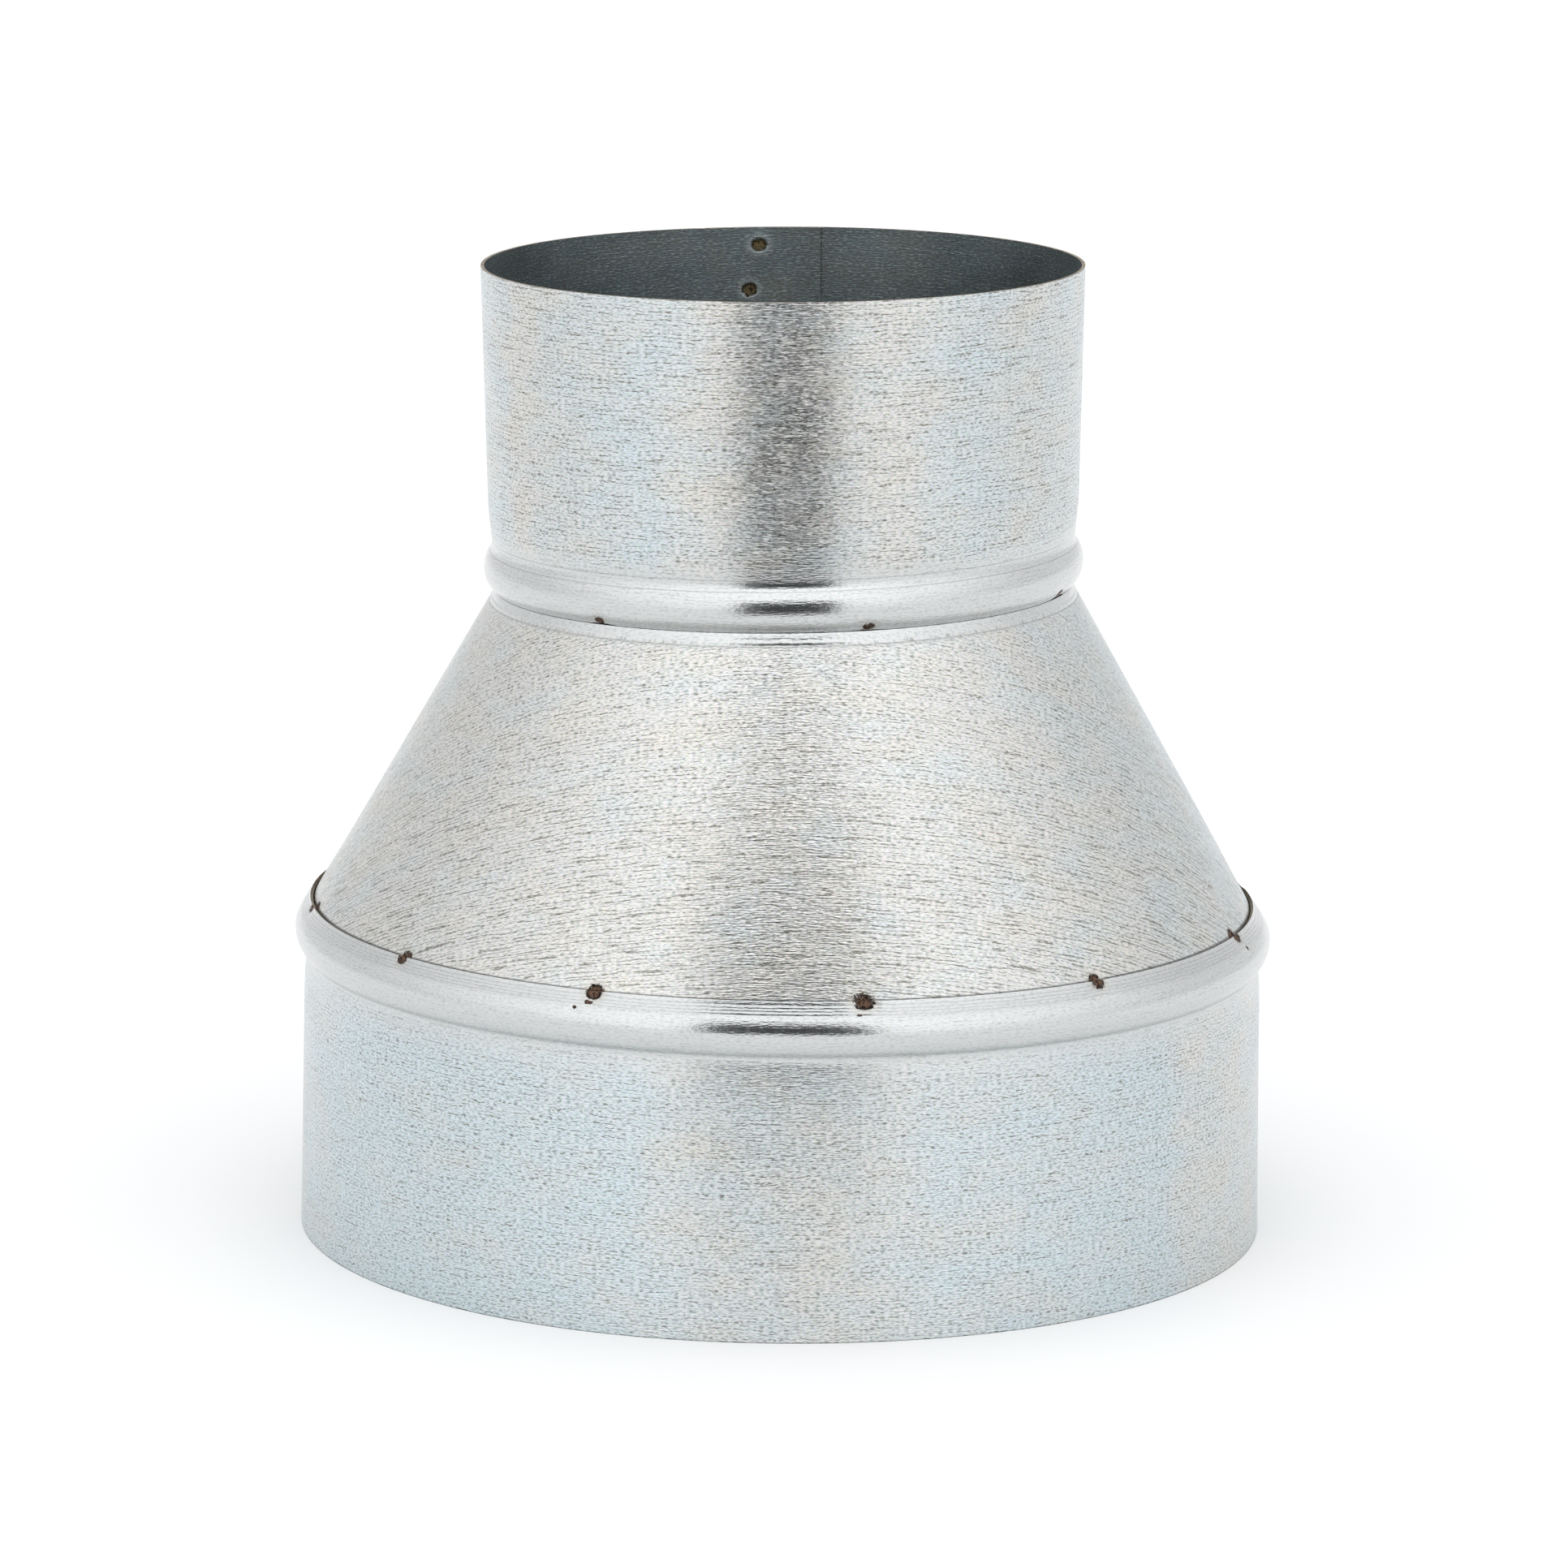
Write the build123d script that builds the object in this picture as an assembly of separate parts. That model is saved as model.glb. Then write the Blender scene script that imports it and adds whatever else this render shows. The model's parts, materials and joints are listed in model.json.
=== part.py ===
from build123d import *
from build123d.topology import SkipClean
from math import acos, atan2, cos, degrees, radians, sin, sqrt
import os

# Duct reducer: three rolled sheets of galvanised steel, beaded, lapped over each other and spot welded.
# Millimetres. +Z runs up the duct, from the large end to the small end. The origin is the centre of the
# large end's rim, the front is -Y, and the lap seams are at the back, near +Y.

# Sheet
sheet = 0.7                   # thickness of the steel, 24 gauge
seat_gap = 0.15               # air between two sheets that rest on each other
rim_land = 2.0                # straight stretch at each open rim, where the sheet was cut square

# Large collar, from its rim up to the bead
large_rim_r = 100.8           # outside radius at the rim, to slip into an 8 inch pipe
large_flare = 0.7             # how much wider the rim is than the waist below the bead
large_neck_draw = 0.3         # how far the beading pulls the sheet in from waist to neck
large_bead_rise = 2.2         # how far the bead's crown stands out from the neck
large_bead_r = 8.6            # outside radius of the bead's round
large_root_r = 1.5            # hollow radius between bead and neck
large_collar_height = 62.0    # rim to the bead's crown
large_waist_drop = 12.0       # crown to waist
large_lip_sweep = 51.5        # degrees of bead above the crown, up to the lip that closes on the cone

# Small collar, from its rim down to the bead
small_rim_r = 62.3            # outside radius at the rim, to slip into a 5 inch pipe
small_flare = 1.05
small_neck_draw = 0.7
small_bead_rise = 1.7
small_bead_r = 6.2
small_root_r = 3.0
small_collar_height = 62.1    # the bead's crown to the rim
small_waist_rise = 12.6       # crown to waist
tail_length = 7.0             # how far the collar's tail follows the inside of the cone

# Cone
crown_spacing = 78.4          # height from the large bead's crown to the small bead's crown
turn_length = 2.7             # width of the cone's top edge, which is turned in under the small bead
turn_lean = 38.0              # degrees that this turned edge leans from the axis
turn_seat = 50.0              # degrees below the small bead's crown where the edge rests on the bead

# Lap seams, each with one end of the sheet stepped in behind the other
lap_width = 26.0
joggle_width = 3.0            # length of the step that takes the inner end back to the wall
joggle_foot = 0.05            # height left where the step dies out in the wall
seam_line_width = 0.4         # hairline left outside, along the outer end of the sheet
seam_line_depth = 0.55
lap_notch = 3.0               # how far a lap stops short of a joint, so that the sheets do not pile up
small_seam_at = 82.5          # azimuth of the inner end of the sheet, degrees from +X
cone_seam_at = 112.0
large_seam_at = 64.0

# Spot welds, each a shallow dent left by the electrode
electrode_r = 8.0             # domed tip that presses the lip and the seams
corner_tip_r = 1.5            # pointed tip that reaches the corner under the small bead
dent_depth = 0.22
lip_weld_count = 12           # round the large collar's lip
lip_weld_first = 279.5        # azimuth, degrees from +X
lip_weld_sweep = 43.0         # degrees above the large bead's crown
bead_weld_count = 7           # round the underside of the small collar's bead
bead_weld_first = 233.0
bead_weld_sweep = 44.0        # degrees below the small bead's crown
seam_weld_pitch = 9.6
seam_weld_margin = 4.0        # from the edge of the sheet to the first weld

UP, DOWN = 1, -1


# Half section: X is the radius and Y the height

def polar(distance, angle):
    return Vector(distance * cos(radians(angle)), distance * sin(radians(angle)))


def line_meets_circle(start, direction, centre, radius, far):
    """Point where a line from start crosses a circle, at its near or far side."""
    offset_to_start = start - centre
    half_b = offset_to_start.dot(direction)
    rest = offset_to_start.dot(offset_to_start) - radius ** 2
    root = sqrt(half_b ** 2 - rest)
    return start + direction * (root - half_b if far else -root - half_b)


def collar_points(rim_r, flare, neck_draw, bead_rise, bead_r, crown_z, height, waist, toward_rim):
    """Rim, end of the rim's straight land, waist and bead centre of a collar, in the half section."""
    waist_r = rim_r - flare
    crown_r = waist_r - neck_draw + bead_rise
    rim = Vector(rim_r, crown_z + toward_rim * height)
    land = rim - Vector(0, toward_rim * rim_land)
    waist_point = Vector(waist_r, crown_z + toward_rim * waist)
    return rim, land, waist_point, Vector(crown_r - bead_r, crown_z)


def collar_outline(rim, land, waist, centre, bead_rise, bead_r, root_r, toward_rim, end_sweep):
    """Outside of a collar from its rim, through waist, neck and hollow root, to the end of its bead."""
    root_sweep = degrees(acos(1 - bead_rise / (bead_r + root_r)))
    hollow = centre + polar(bead_r + root_r, toward_rim * root_sweep)
    neck = hollow - Vector(root_r, 0)
    return [
        Line(rim, land),
        Line(land, waist),
        Line(waist, neck),
        CenterArc(hollow, root_r, 180, toward_rim * root_sweep),
        CenterArc(centre, bead_r, toward_rim * root_sweep, -toward_rim * (root_sweep + end_sweep)),
    ]


small_crown_z = large_collar_height + crown_spacing
large_rim, large_land, large_waist, large_centre = collar_points(
    large_rim_r, large_flare, large_neck_draw, large_bead_rise, large_bead_r,
    large_collar_height, large_collar_height, large_waist_drop, DOWN)
small_rim, small_land, small_waist, small_centre = collar_points(
    small_rim_r, small_flare, small_neck_draw, small_bead_rise, small_bead_r,
    small_crown_z, small_collar_height, small_waist_rise, UP)

# The cone's top edge rests under the small bead. Below the turned edge its wall runs straight to the
# inside corner of the large collar's lip, and on into the hollow of the large bead.
cone_top = small_centre + polar(small_bead_r + seat_gap, -turn_seat)
cone_bend = cone_top + polar(turn_length, turn_lean - 90)
lip_corner = large_centre + polar(large_bead_r - sheet, large_lip_sweep)
cone_slope = (lip_corner - Vector(seat_gap, 0) - cone_bend).normalized()
cone_foot = line_meets_circle(
    cone_bend, cone_slope, large_centre, large_bead_r - sheet - seat_gap, far=True)

# The small collar's tail lies along the inside of the cone and of its turned edge.
turn_up = (cone_top - cone_bend).normalized()
inward_of_turn = Vector(-turn_up.Y, turn_up.X)
inward_of_cone = Vector(cone_slope.Y, -cone_slope.X)
miter = (inward_of_turn + inward_of_cone) / (1 + inward_of_turn.dot(inward_of_cone))
tail_bend = cone_bend + miter * (sheet + seat_gap)
tail_top = line_meets_circle(tail_bend, turn_up, small_centre, small_bead_r, far=False)
tail_end = tail_bend + cone_slope * tail_length
tail_sweep = degrees(atan2(small_centre.Y - tail_top.Y, tail_top.X - small_centre.X))

large_outline = collar_outline(
    large_rim, large_land, large_waist, large_centre, large_bead_rise, large_bead_r, large_root_r,
    DOWN, large_lip_sweep)
small_outline = collar_outline(
    small_rim, small_land, small_waist, small_centre, small_bead_rise, small_bead_r, small_root_r,
    UP, tail_sweep)
small_outline += [Line(tail_top, tail_bend), Line(tail_bend, tail_end)]
cone_outline = [Line(cone_top, cone_bend), Line(cone_bend, cone_foot)]


# Sheets

def band(outline, inner_side, thickness):
    """Face of a strip of sheet behind an outline, stood up in the XZ plane."""
    strip = offset(Wire(outline), thickness, side=inner_side, closed=True, kind=Kind.INTERSECTION)
    return Plane.XZ * make_face(strip.edges())


def swung(face, azimuth, angle):
    """Solid swept by a face round the axis, from an azimuth through an angle."""
    return revolve(Rot(0, 0, azimuth) * face, Axis.Z, angle)


def rolled_sheet(outline, lap_outline, inner_side, seam_at, seam_r):
    """Sheet rolled into a ring. Behind the seam its inner end is stepped in by one thickness, lies flat
    under the outer end for the lap's width, and shows there as a hairline outside and an edge inside."""
    lap, joggle, line = [degrees(width / seam_r) for width in (lap_width, joggle_width, seam_line_width)]
    single = band(outline, inner_side, sheet)
    double = single + band(lap_outline, inner_side, 2 * sheet)
    almost_single = single + band(lap_outline, inner_side, sheet + joggle_foot)
    grooved = double - band(outline, inner_side, seam_line_depth)
    lap_end = seam_at + lap
    joggle_end = lap_end + joggle
    wall = swung(single, joggle_end, 360 - lap - joggle)
    overlap = swung(double, seam_at, lap - line)
    hairline = swung(grooved, lap_end - line, line)
    step = loft([Rot(0, 0, lap_end) * double.face(), Rot(0, 0, joggle_end) * almost_single.face()])
    with SkipClean():  # wall, lap, hairline and step stay faces of their own, divided at the seam
        return wall + [overlap, hairline, step]


def tip(middle, azimuth, radius):
    """Round electrode tip with its middle at a point of the half section."""
    return Rot(0, 0, azimuth) * Pos(middle.X, 0, middle.Y) * Sphere(radius)


def seam_dents(start, end, seam_at, seam_r):
    """Electrode tips that dent a lap from both sides, in a row down its middle."""
    along = (end - start).normalized()
    inward = Vector(-abs(along.Y), along.X if along.Y > 0 else -along.X)
    count = int(((end - start).length - 2 * seam_weld_margin) / seam_weld_pitch) + 1
    azimuth = seam_at + degrees(lap_width / seam_r) / 2
    spots = [start + along * (seam_weld_margin + number * seam_weld_pitch) for number in range(count)]
    bite = electrode_r - dent_depth
    inside = [tip(spot + inward * (2 * sheet + bite), azimuth, electrode_r) for spot in spots]
    outside = [tip(spot - inward * bite, azimuth, electrode_r) for spot in spots]
    return inside + outside


def ring_dents(centre, bead_r, sweep, tip_r, first, count):
    """Electrode tips that dent a bead, at one angle of its section, in a ring round the axis."""
    middle = centre + polar(bead_r + tip_r - dent_depth, sweep)
    return [tip(middle, first + number * 360 / count, tip_r) for number in range(count)]


def dented(piece, tips):
    with SkipClean():
        return piece - tips


# Large collar, its lap stopped below the bead
large_lap_top = large_waist + (large_land - large_waist).normalized() * lap_notch
large_lap = [Line(large_rim, large_land), Line(large_land, large_lap_top)]
large_collar = rolled_sheet(large_outline, large_lap, Side.LEFT, large_seam_at, large_rim_r)
large_collar = dented(large_collar, ring_dents(
    large_centre, large_bead_r, lip_weld_sweep, electrode_r, lip_weld_first, lip_weld_count))
large_collar = dented(large_collar, seam_dents(large_rim, large_lap_top, large_seam_at, large_rim_r))

# Small collar, lapped over its whole height
small_collar = rolled_sheet(small_outline, small_outline, Side.RIGHT, small_seam_at, small_rim_r)
small_collar = dented(small_collar, ring_dents(
    small_centre, small_bead_r, -bead_weld_sweep, corner_tip_r, bead_weld_first, bead_weld_count))
small_collar = dented(small_collar, seam_dents(small_rim, small_waist, small_seam_at, small_rim_r))

# Cone, its lap stopped below the small collar's tail
cone_lap_top = cone_bend + cone_slope * (tail_length + lap_notch)
cone_lap = [Line(cone_lap_top, cone_foot)]
cone = rolled_sheet(cone_outline, cone_lap, Side.RIGHT, cone_seam_at, cone_foot.X)
cone = dented(cone, seam_dents(cone_lap_top, cone_foot, cone_seam_at, cone_foot.X))

os.makedirs("parts", exist_ok=True)
for name, piece in (("small_collar", small_collar), ("cone", cone), ("large_collar", large_collar)):
    piece.label = name
    export_step(piece, f"parts/{name}.step")
    print(name, len(piece.solids()), "solid", round(piece.volume), "mm3", piece.is_valid)
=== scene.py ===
# %% [markdown]
# # A duct reducer of galvanised sheet steel
# A reducer joins a wide round duct to a narrow one. This one is three rolled sheets: a large collar, a cone
# and a small collar, lapped at the back and spot welded where they meet. The CAD model holds their sizes
# and places. Here each sheet is modelled again with a finer mesh and gets the look of zinc.

# %% Load the frame
import json
from math import acos, atan2, cos, degrees, hypot, radians, sin, tan

import bmesh
import bpy
import numpy as np
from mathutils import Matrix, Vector
from mathutils.kdtree import KDTree

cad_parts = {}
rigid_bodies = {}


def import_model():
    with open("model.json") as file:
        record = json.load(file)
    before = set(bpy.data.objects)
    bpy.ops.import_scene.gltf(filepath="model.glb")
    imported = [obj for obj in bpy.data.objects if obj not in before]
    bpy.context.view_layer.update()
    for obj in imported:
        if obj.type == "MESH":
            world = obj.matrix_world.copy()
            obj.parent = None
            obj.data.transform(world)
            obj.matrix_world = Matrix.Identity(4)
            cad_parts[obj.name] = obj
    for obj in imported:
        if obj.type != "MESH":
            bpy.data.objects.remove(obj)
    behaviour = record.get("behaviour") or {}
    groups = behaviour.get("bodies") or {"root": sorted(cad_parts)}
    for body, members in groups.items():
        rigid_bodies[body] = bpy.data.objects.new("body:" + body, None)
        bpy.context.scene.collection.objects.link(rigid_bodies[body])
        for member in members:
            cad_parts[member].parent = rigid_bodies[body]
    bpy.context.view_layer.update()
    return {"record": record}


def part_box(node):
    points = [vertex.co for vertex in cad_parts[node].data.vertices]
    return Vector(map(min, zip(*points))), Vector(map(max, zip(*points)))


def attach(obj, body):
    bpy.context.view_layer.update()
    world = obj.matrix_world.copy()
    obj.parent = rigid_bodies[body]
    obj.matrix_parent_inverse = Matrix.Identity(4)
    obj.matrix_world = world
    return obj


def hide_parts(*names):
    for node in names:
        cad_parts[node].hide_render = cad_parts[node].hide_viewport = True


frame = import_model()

# %% [markdown]
# ## The camera
# A long lens from about a metre and a half away keeps the two rims nearly alike in shape. Its distance,
# height and tilt could be set by eye, but they were fitted to the ellipses of the rims and joints, so that
# the view is the photograph's. The real camera was not quite level, so this one is rolled a little too.

# %% Camera
photo_side = 1932                          # pixels across the square photograph
focal_pixels = 8941                        # focal length, measured in those pixels
camera_place = (-0.0001, -1.4841, 0.3899)
looking_down, roll = 11.328, 0.6           # degrees

bpy.ops.object.camera_add(location=camera_place, rotation=(radians(90 - looking_down), 0, 0))
camera = bpy.context.object
camera.rotation_euler.rotate_axis("Z", radians(roll))
camera.data.lens = camera.data.sensor_width * focal_pixels / photo_side
bpy.context.scene.camera = camera
print("lens", round(camera.data.lens, 1), "mm")

# %% [markdown]
# ## The studio
# Metal has little colour of its own: it shows what stands round it. The reflections look like a white tent
# that grows brighter towards a panel above the camera, with a dark opening for the lens. The dark stripe
# down the small collar is that opening. Lamps would leave small hard highlights, so the world itself is the
# tent. A plane that only reflections can see is the opening, and a pale floor catches the shadow. A second
# opening behind gives the back a stripe of its own.

# %% One function that adds a node, and one for colours
# Sockets go by number where a node has several of one name. Mix takes its factor as 0, values as 2 and 3 or
# colours as 6 and 7, and gives a colour as output 2. Map Range takes a value as 0, the ends of its range as 1
# and 2, and what they become as 3 and 4.
def add_node(tree, kind, inputs=None, out=0, **settings):
    """Adds a node with its settings and gives one output. An input takes a value or another output."""
    made = tree.nodes.new(kind)
    for name, value in settings.items():
        setattr(made, name, value)
    for socket, value in (inputs or {}).items():
        if isinstance(value, bpy.types.NodeSocket):
            tree.links.new(value, made.inputs[socket])
        else:
            made.inputs[socket].default_value = value
    return made.outputs[out]


def linear(colour):
    """Linear RGBA of an sRGB hex colour."""
    parts = [int(colour[at:at + 2], 16) / 255 for at in (1, 3, 5)]
    return [c / 12.92 if c <= 0.04045 else ((c + 0.055) / 1.055) ** 2.4 for c in parts] + [1.0]


print("middle grey is", round(linear("#808080")[0], 3), "in linear light")

# %% The tent
tent_light = 0.93
panel_light = 1.52
panel_direction = (0, -0.707, 0.707)       # above the camera, half way up
backdrop_light = 1.0                       # what the camera itself sees behind the floor

world = bpy.data.worlds.new("light_tent")
bpy.context.scene.world = world
world.use_nodes = True
tent = world.node_tree
direction = add_node(tent, "ShaderNodeTexCoord", out="Generated")
toward_panel = add_node(tent, "ShaderNodeVectorMath", {0: direction, 1: panel_direction}, "Value",
                        operation="DOT_PRODUCT")
cloth = add_node(tent, "ShaderNodeMapRange", {0: toward_panel, 3: tent_light, 4: panel_light})
seen_by_camera = add_node(tent, "ShaderNodeLightPath", out="Is Camera Ray")
brightness = add_node(tent, "ShaderNodeMix", {0: seen_by_camera, 2: cloth, 3: backdrop_light})
tent.links.new(brightness, tent.nodes["Background"].inputs["Strength"])
tent.nodes["Background"].inputs["Color"].default_value = linear("#fdfeff")
bpy.context.scene.view_settings.view_transform = "Standard"
print("tent", tent_light, "panel", panel_light)

# %% The floor, matt white paper that shows nothing but the shadow
floor_size, floor_middle = 12, (0, 3, 0)   # m, most of it behind the object
floor_material = bpy.data.materials.new("matt_white_paper")
floor_material.use_nodes = True
paper = floor_material.node_tree.nodes["Principled BSDF"]
paper.inputs["Base Color"].default_value = linear("#f5f5f5")
paper.inputs["Roughness"].default_value = 0.9
paper.inputs["Specular IOR Level"].default_value = 0.1

bpy.ops.object.select_all(action="DESELECT")
bpy.ops.mesh.primitive_plane_add(size=floor_size, location=floor_middle)
floor = bpy.context.object
floor.name = "floor"
floor.data.materials.append(floor_material)
print("floor", floor_size, "m across")

# %% The openings, dark rooms that only take light away from the reflections
opening_width, opening_height = 0.140, 0.166    # m
opening_foot = 0.062                       # height of its lower edge
opening_aside, opening_distance = 0.003, 0.25   # to the right of the axis, and before or behind it
dark_material = bpy.data.materials.new("dark_room")
dark_material.use_nodes = True
dark = dark_material.node_tree.nodes["Principled BSDF"]
dark.inputs["Base Color"].default_value = linear("#1c2024")
dark.inputs["Roughness"].default_value = 1.0
for name, side in (("lens_opening", -1), ("back_opening", 1)):
    bpy.ops.mesh.primitive_plane_add(
        size=1, location=(opening_aside, side * opening_distance, opening_foot + opening_height / 2),
        rotation=(radians(90), 0, 0))
    opening = bpy.context.object
    opening.name = name
    bpy.ops.object.mode_set(mode="EDIT")
    bpy.ops.transform.resize(value=(opening_width, 1, opening_height))
    bpy.ops.object.mode_set(mode="OBJECT")
    opening.data.materials.append(dark_material)
    for ray in ("visible_camera", "visible_diffuse", "visible_shadow", "visible_transmission"):
        setattr(opening, ray, False)
print("opening", opening_width, "by", opening_height, "m")

# %% [markdown]
# ## Sections of the three sheets
# A sheet-metal worker thinks in half sections: the line that the sheet follows from edge to edge, as a
# radius and a height. Straight stretches need few points, beads are arcs, and the hairlines that the
# rollers left are shallow notches in the line. The CAD mesh could be kept instead, but its facets are too
# coarse for a bead that shines. The rims come from the record's mounts, and the top and the large crown
# from the CAD boxes.

# %% Lines and arcs
MM = 0.001
sheet = 0.7                                # thickness of the steel in mm, as all sizes below


def run(start, end, steps):
    """Points along a straight line, without its end."""
    return [tuple(a + (b - a) * n / steps for a, b in zip(start, end)) for n in range(steps)]


def arc(centre, radius, first, last, steps):
    """Points round an arc between two angles in degrees, without its end."""
    angles = [radians(first + (last - first) * n / steps) for n in range(steps)]
    return [(centre[0] + radius * cos(a), centre[1] + radius * sin(a)) for a in angles]


mounts = {mount["name"]: mount["dims"] for mount in frame["record"]["mounts"]}
large_rim_r = mounts["large_end"]["r_mm"]
small_rim_r = mounts["small_end"]["r_mm"]
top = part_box("small_collar")[1].z / MM
large_crown_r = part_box("large_collar")[1].x / MM
print("rims", large_rim_r, small_rim_r, "top", round(top, 2), "large crown", round(large_crown_r, 2))

# %% Large collar's section, from the rim up to the lip
rim_land = 2.0
large_crown_z = 62.6
under_r, crown_round, over_r = 6.2, 4.3, 10.0    # the bead's round below, at and above its crown
crown_sweep, flank_lean = 27.0, 33.6       # degrees where the tight round ends and where the flank begins
flank_length = 4.2                         # flat flank that lies on the cone, up to the lip
large_root_r = 1.5
neck_r, neck_start = 99.62, (100.19, 44.0)
neck_steps, neck_curve = 9, 3              # the wall draws in towards the bead as this power of the way up
tool_marks = (3.0, 2.3, 1.65, 0.9)         # lines left by the closing rollers, down from the lip
mark_half, mark_depth = 0.12, 0.042


def polar(distance, angle):
    """Offset in the half section by a distance, at an angle in degrees above the horizontal."""
    return np.array((distance * cos(radians(angle)), distance * sin(radians(angle))))


under_centre = (large_crown_r - under_r, large_crown_z)
crown_centre = np.array((large_crown_r - crown_round, large_crown_z))
over_centre = crown_centre + polar(crown_round - over_r, crown_sweep)
flank_start = over_centre + polar(over_r, flank_lean)
root_sweep = degrees(acos(1 - (large_crown_r - neck_r) / (under_r + large_root_r)))
hollow = np.array(under_centre) + polar(under_r + large_root_r, -root_sweep)
neck_rise = hollow[1] - neck_start[1]

large_section = run((large_rim_r, 0), (large_rim_r, rim_land), steps=2)
large_section += run((large_rim_r, rim_land), neck_start, steps=13)
large_section += [
    (neck_start[0] - (neck_start[0] - neck_r) * (n / neck_steps) ** neck_curve,
     neck_start[1] + neck_rise * n / neck_steps)
    for n in range(neck_steps)]
large_section += arc(hollow, large_root_r, 180, 180 - root_sweep, steps=6)
large_section += arc(under_centre, under_r, -root_sweep, 0, steps=9)
large_section += arc(crown_centre, crown_round, 0, crown_sweep, steps=7)
large_section += arc(over_centre, over_r, crown_sweep, flank_lean, steps=4)
large_section.append(tuple(flank_start))
for mark in tool_marks:
    for along, inward in ((-mark_half, 0), (0, mark_depth), (mark_half, 0)):
        large_section.append(tuple(
            flank_start + polar(flank_length - mark + along, flank_lean + 90) - polar(inward, flank_lean)))
large_section.append(tuple(flank_start + polar(flank_length, flank_lean + 90)))
lip = large_section[-1]
print("large collar:", len(large_section), "points, lip at", [round(float(c), 2) for c in lip])

# %% Small collar's section, from the rim down to the tail inside the cone
small_crown_z = 140.4
small_bead_r, small_root_r = 6.2, 3.0
small_crown_r = 62.25
waist, small_neck_r = (61.25, 153.0), 60.55
tail_sweep = 57.8
tail_bend, tail_end = (60.6, 132.6), (64.05, 126.55)
small_scores = (146.3, 144.1)              # heights of two lines that the rollers left above the bead

small_centre = (small_crown_r - small_bead_r, small_crown_z)
small_root_sweep = degrees(acos(1 - (small_crown_r - small_neck_r) / (small_bead_r + small_root_r)))
small_hollow = (small_neck_r + small_root_r,
                small_crown_z + (small_bead_r + small_root_r) * sin(radians(small_root_sweep)))
tail_top = arc(small_centre, small_bead_r, -tail_sweep, -tail_sweep, steps=1)[0]

small_section = run((small_rim_r, top), (small_rim_r, top - rim_land), steps=2)
small_section += run((small_rim_r, top - rim_land), waist, steps=14)
small_section += run(waist, (small_neck_r, small_hollow[1]), steps=6)
small_section += arc(small_hollow, small_root_r, 180, 180 + small_root_sweep, steps=7)
small_section += arc(small_centre, small_bead_r, small_root_sweep, -tail_sweep, steps=26)
small_section += run(tail_top, tail_bend, steps=2) + run(tail_bend, tail_end, steps=3) + [tail_end]
for level in [z + off for z in small_scores for off in (mark_half, 0, -mark_half)]:
    below = next(n for n, point in enumerate(small_section) if point[1] < level)
    (r1, z1), (r2, z2) = small_section[below - 1:below + 1]
    small_section.insert(below, (r1 + (r2 - r1) * (z1 - level) / (z1 - z2), level))
print("small collar:", len(small_section), "points")

# %% Cone's section, from the edge under the small bead down to the foot inside the large bead
cone_top, cone_bend, cone_foot = (60.03, 135.58), (61.3, 133.09), (101.09, 62.94)
crease_at, crease_half = (0.5, 0.93), (0.1, 0.16)    # two creases, as shares of the turned edge's width
crease_depth = (0.06, 0.16)
bend_share = 0.02                          # how much of the wall the bend takes up

turn = (cone_bend[0] - cone_top[0], cone_bend[1] - cone_top[1])
turn_inward = (turn[1] / hypot(*turn), -turn[0] / hypot(*turn))
cone_section = [cone_top]
for at, half, depth in zip(crease_at, crease_half, crease_depth):
    # A crease is flat over its middle third
    for along, inward in ((at - half, 0), (at - half / 3, depth), (at + half / 3, depth), (at + half, 0)):
        cone_section.append((cone_top[0] + turn[0] * along + turn_inward[0] * inward,
                             cone_top[1] + turn[1] * along + turn_inward[1] * inward))
wall_start = tuple(b + (f - b) * bend_share for b, f in zip(cone_bend, cone_foot))
cone_section += run(wall_start, cone_foot, steps=26) + [cone_foot]
print("cone:", len(cone_section), "points")

# %% [markdown]
# ## Rolling a sheet
# Each sheet is a flat blank rolled round until one end lies behind the other. In Blender the section is
# drawn by extruding a vertex, and the spin tool rolls it round the axis. A Screw modifier would roll it
# too, but spins leave the ends open to lap: the inner end is a second, shorter spin of the same section one
# thickness further in, and a bridge makes the step between them.

# %% Draw, spin and bridge
columns = 600                              # columns of faces in a full turn
lap_width, step_width = 26.0, 3.0
lap_clear = 0.05                           # air between the two ends


def standing(section, azimuth, inward=0.0):
    """Places in metres of a section's points at an azimuth in degrees."""
    across, along = cos(radians(azimuth)) * MM, sin(radians(azimuth)) * MM
    return [Vector(((r - inward) * across, (r - inward) * along, z * MM)) for r, z in section]


def draw_line(places):
    """In edit mode: extrudes one vertex from place to place and leaves the whole line selected."""
    bpy.ops.mesh.primitive_plane_add(size=sheet * MM, location=places[0])
    bpy.ops.mesh.merge(type="CENTER")
    for here, there in zip(places, places[1:]):
        bpy.ops.mesh.extrude_vertices_move(TRANSFORM_OT_translate={"value": there - here})
    bpy.ops.mesh.select_linked()


def bridge_lines(piece, first, second):
    """In edit mode: bridges two lines of vertices, found by their places."""
    bpy.ops.mesh.select_all(action="DESELECT")
    edit = bmesh.from_edit_mesh(piece.data)
    edit.verts.ensure_lookup_table()
    finder = KDTree(len(edit.verts))
    for vertex in edit.verts:
        finder.insert(vertex.co, vertex.index)
    finder.balance()
    for place in first + second:
        edit.verts[finder.find(place)[1]].select = True
    edit.select_flush(True)
    bmesh.update_edit_mesh(piece.data)
    bpy.ops.mesh.bridge_edge_loops()


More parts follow.
